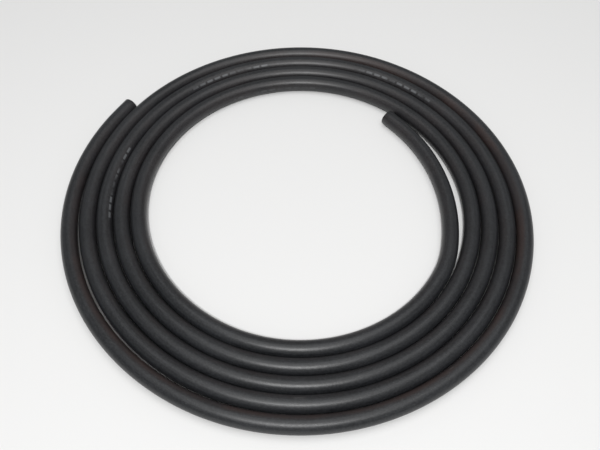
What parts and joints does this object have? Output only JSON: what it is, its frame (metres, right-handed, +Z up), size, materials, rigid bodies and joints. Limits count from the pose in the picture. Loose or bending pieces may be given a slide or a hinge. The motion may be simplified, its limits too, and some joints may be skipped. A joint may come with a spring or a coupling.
{
  "type": "coiled air hose",
  "caption": "Rubber air hose with a yarn-reinforced wall and bare square-cut ends, wound flat in a single-layer spiral coil.",
  "frame": {"origin": "on the floor under the middle of the coil's bounding box", "axes": "+Z up out of the floor; the outer end is on the -X side and its mouth faces +Y; the hose winds inwards counter-clockwise seen from above"},
  "size_m": [0.6258, 0.616, 0.0209],
  "materials": {
    "liner_rubber": "smooth matt black rubber",
    "inner_yarn": "natural synthetic yarn set in rubber",
    "outer_yarn": "natural synthetic yarn set in rubber",
    "cover_rubber": "matt charcoal rubber, slightly worn"
  },
  "bodies": {
    "root": {"liner": "liner_rubber", "inner_ply": "inner_yarn", "outer_ply": "outer_yarn", "cover": "cover_rubber"}
  },
  "joints": []
}
